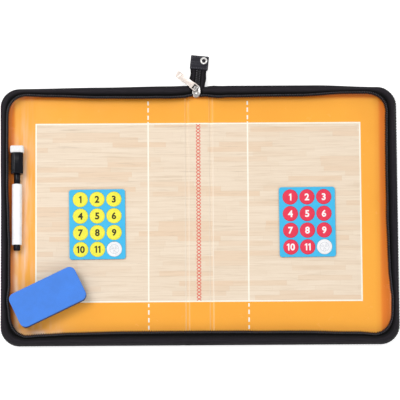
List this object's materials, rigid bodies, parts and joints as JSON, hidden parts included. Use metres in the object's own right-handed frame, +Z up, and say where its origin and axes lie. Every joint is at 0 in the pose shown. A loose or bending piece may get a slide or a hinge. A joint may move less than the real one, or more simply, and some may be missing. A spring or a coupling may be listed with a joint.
{
  "type": "tactics board",
  "caption": "Zip-around folding magnetic coaching board with a printed court inside, numbered magnet tokens on die-cut cards, a capped marker and a foam eraser.",
  "frame": {"origin": "centre of the spine's underside, where the open case lies on the table", "axes": "+X to the right across both covers, +Y along the spine towards the zip tail, +Z up"},
  "size_m": [0.46, 0.3401, 0.022],
  "materials": {
    "leatherette": "black leatherette with fine grain",
    "grey_board": "grey millboard",
    "steel_sheet": "thin tinned sheet",
    "printed_liner": "printed satin vinyl",
    "zip_tape": "woven black tape",
    "zip_teeth": "moulded black teeth",
    "bright_metal": "nickel plated",
    "white_plastic": "glossy",
    "black_plastic": "glossy",
    "white_felt": "felt",
    "dark_felt": "felt",
    "reservoir_fibre": "ink soaked fibre",
    "magnet": "sintered magnet",
    "blue_foam": "closed-cell foam",
    "blue_card": "printed flexible magnet sheet",
    "yellow_token": "printed flexible magnet sheet",
    "red_token": "printed flexible magnet sheet",
    "white_token": "printed flexible magnet sheet"
  },
  "bodies": {
    "spine": {"spine_outer_skin": "leatherette", "spine_stiffener": "grey_board", "spine_liner": "printed_liner", "zip_tail_tape": "zip_tape", "zip_tail_teeth": "zip_teeth", "zip_tail_tab": "leatherette", "tail_rivet": "bright_metal", "zip_leads": "zip_tape", "zip_end_gusset": "zip_tape"},
    "left_cover": {"left_outer_skin": "leatherette", "left_board": "grey_board", "left_steel_sheet": "steel_sheet", "left_liner": "printed_liner", "left_zip_tape": "zip_tape", "left_zip_teeth": "zip_teeth"},
    "right_cover": {"right_outer_skin": "leatherette", "right_board": "grey_board", "right_steel_sheet": "steel_sheet", "right_liner": "printed_liner", "right_zip_tape": "zip_tape", "right_zip_teeth": "zip_teeth"},
    "slider": {"slider_body": "bright_metal"},
    "pull": {"pull_tab": "bright_metal"},
    "marker": {"marker_barrel": "white_plastic", "marker_end_plug": "black_plastic", "marker_nib_holder": "black_plastic", "marker_nib": "dark_felt", "marker_ink_reservoir": "reservoir_fibre"},
    "marker_cap": {"marker_cap_shell": "black_plastic", "marker_cap_magnet": "magnet", "marker_cap_eraser": "white_felt"},
    "eraser": {"eraser_body": "blue_foam", "eraser_felt": "dark_felt", "eraser_magnet": "magnet"},
    "yellow_card": {"yellow_token_card": "blue_card"},
    "red_card": {"red_token_card": "blue_card"},
    "yellow_token_01": {"yellow_token_01": "yellow_token"},
    "yellow_token_02": {"yellow_token_02": "yellow_token"},
    "yellow_token_03": {"yellow_token_03": "yellow_token"},
    "yellow_token_04": {"yellow_token_04": "yellow_token"},
    "yellow_token_05": {"yellow_token_05": "yellow_token"},
    "yellow_token_06": {"yellow_token_06": "yellow_token"},
    "yellow_token_07": {"yellow_token_07": "yellow_token"},
    "yellow_token_08": {"yellow_token_08": "yellow_token"},
    "yellow_token_09": {"yellow_token_09": "yellow_token"},
    "yellow_token_10": {"yellow_token_10": "yellow_token"},
    "yellow_token_11": {"yellow_token_11": "yellow_token"},
    "yellow_ball_token": {"yellow_ball_token": "white_token"},
    "red_token_01": {"red_token_01": "red_token"},
    "red_token_02": {"red_token_02": "red_token"},
    "red_token_03": {"red_token_03": "red_token"},
    "red_token_04": {"red_token_04": "red_token"},
    "red_token_05": {"red_token_05": "red_token"},
    "red_token_06": {"red_token_06": "red_token"},
    "red_token_07": {"red_token_07": "red_token"},
    "red_token_08": {"red_token_08": "red_token"},
    "red_token_09": {"red_token_09": "red_token"},
    "red_token_10": {"red_token_10": "red_token"},
    "red_token_11": {"red_token_11": "red_token"},
    "red_ball_token": {"red_ball_token": "white_token"}
  },
  "joints": [
    {"name": "cover_left_fold", "type": "hinge", "parent": "spine", "child": "left_cover", "pos_m": [-0.014, 0, 0.002], "axis": [0, -1, 0], "range_deg": [-90, 0], "deforming": ["zip_leads", "zip_end_gusset"]},
    {"name": "cover_right_fold", "type": "hinge", "parent": "spine", "child": "right_cover", "pos_m": [0.014, 0, 0.002], "axis": [0, 1, 0], "range_deg": [-90, 0]},
    {"name": "slider_run", "type": "slide", "parent": "spine", "child": "slider", "axis": [0.1038, 0.9875, -0.1184], "range_m": [0, 0.018], "deforming": ["zip_tail_teeth"]},
    {"name": "pull_flip", "type": "hinge", "parent": "slider", "child": "pull", "pos_m": [-0.00225, 0.14888, 0.01077], "axis": [0.6287, 0.7713, -0.0993], "range_deg": [0, 130]},
    {"name": "marker_lift", "type": "slide", "parent": "left_cover", "child": "marker", "axis": [0, 0, 1], "range_m": [0, 0.06]},
    {"name": "marker_cap_pull", "type": "slide", "parent": "marker", "child": "marker_cap", "axis": [0, 1, 0], "range_m": [0, 0.032]},
    {"name": "eraser_lift", "type": "slide", "parent": "left_cover", "child": "eraser", "axis": [0, 0, 1], "range_m": [0, 0.06]},
    {"name": "token_card_yellow_lift", "type": "slide", "parent": "left_cover", "child": "yellow_card", "axis": [0, 0, 1], "range_m": [0, 0.02]},
    {"name": "token_card_red_lift", "type": "slide", "parent": "right_cover", "child": "red_card", "axis": [0, 0, 1], "range_m": [0, 0.02]},
    {"name": "token_yellow_01_lift", "type": "slide", "parent": "yellow_card", "child": "yellow_token_01", "axis": [0, 0, 1], "range_m": [0, 0.04]},
    {"name": "token_yellow_02_lift", "type": "slide", "parent": "yellow_card", "child": "yellow_token_02", "axis": [0, 0, 1], "range_m": [0, 0.04]},
    {"name": "token_yellow_03_lift", "type": "slide", "parent": "yellow_card", "child": "yellow_token_03", "axis": [0, 0, 1], "range_m": [0, 0.04]},
    {"name": "token_yellow_04_lift", "type": "slide", "parent": "yellow_card", "child": "yellow_token_04", "axis": [0, 0, 1], "range_m": [0, 0.04]},
    {"name": "token_yellow_05_lift", "type": "slide", "parent": "yellow_card", "child": "yellow_token_05", "axis": [0, 0, 1], "range_m": [0, 0.04]},
    {"name": "token_yellow_06_lift", "type": "slide", "parent": "yellow_card", "child": "yellow_token_06", "axis": [0, 0, 1], "range_m": [0, 0.04]},
    {"name": "token_yellow_07_lift", "type": "slide", "parent": "yellow_card", "child": "yellow_token_07", "axis": [0, 0, 1], "range_m": [0, 0.04]},
    {"name": "token_yellow_08_lift", "type": "slide", "parent": "yellow_card", "child": "yellow_token_08", "axis": [0, 0, 1], "range_m": [0, 0.04]},
    {"name": "token_yellow_09_lift", "type": "slide", "parent": "yellow_card", "child": "yellow_token_09", "axis": [0, 0, 1], "range_m": [0, 0.04]},
    {"name": "token_yellow_10_lift", "type": "slide", "parent": "yellow_card", "child": "yellow_token_10", "axis": [0, 0, 1], "range_m": [0, 0.04]},
    {"name": "token_yellow_11_lift", "type": "slide", "parent": "yellow_card", "child": "yellow_token_11", "axis": [0, 0, 1], "range_m": [0, 0.04]},
    {"name": "token_yellow_ball_lift", "type": "slide", "parent": "yellow_card", "child": "yellow_ball_token", "axis": [0, 0, 1], "range_m": [0, 0.04]},
    {"name": "token_red_01_lift", "type": "slide", "parent": "red_card", "child": "red_token_01", "axis": [0, 0, 1], "range_m": [0, 0.04]},
    {"name": "token_red_02_lift", "type": "slide", "parent": "red_card", "child": "red_token_02", "axis": [0, 0, 1], "range_m": [0, 0.04]},
    {"name": "token_red_03_lift", "type": "slide", "parent": "red_card", "child": "red_token_03", "axis": [0, 0, 1], "range_m": [0, 0.04]},
    {"name": "token_red_04_lift", "type": "slide", "parent": "red_card", "child": "red_token_04", "axis": [0, 0, 1], "range_m": [0, 0.04]},
    {"name": "token_red_05_lift", "type": "slide", "parent": "red_card", "child": "red_token_05", "axis": [0, 0, 1], "range_m": [0, 0.04]},
    {"name": "token_red_06_lift", "type": "slide", "parent": "red_card", "child": "red_token_06", "axis": [0, 0, 1], "range_m": [0, 0.04]},
    {"name": "token_red_07_lift", "type": "slide", "parent": "red_card", "child": "red_token_07", "axis": [0, 0, 1], "range_m": [0, 0.04]},
    {"name": "token_red_08_lift", "type": "slide", "parent": "red_card", "child": "red_token_08", "axis": [0, 0, 1], "range_m": [0, 0.04]},
    {"name": "token_red_09_lift", "type": "slide", "parent": "red_card", "child": "red_token_09", "axis": [0, 0, 1], "range_m": [0, 0.04]},
    {"name": "token_red_10_lift", "type": "slide", "parent": "red_card", "child": "red_token_10", "axis": [0, 0, 1], "range_m": [0, 0.04]},
    {"name": "token_red_11_lift", "type": "slide", "parent": "red_card", "child": "red_token_11", "axis": [0, 0, 1], "range_m": [0, 0.04]},
    {"name": "token_red_ball_lift", "type": "slide", "parent": "red_card", "child": "red_ball_token", "axis": [0, 0, 1], "range_m": [0, 0.04]}
  ]
}
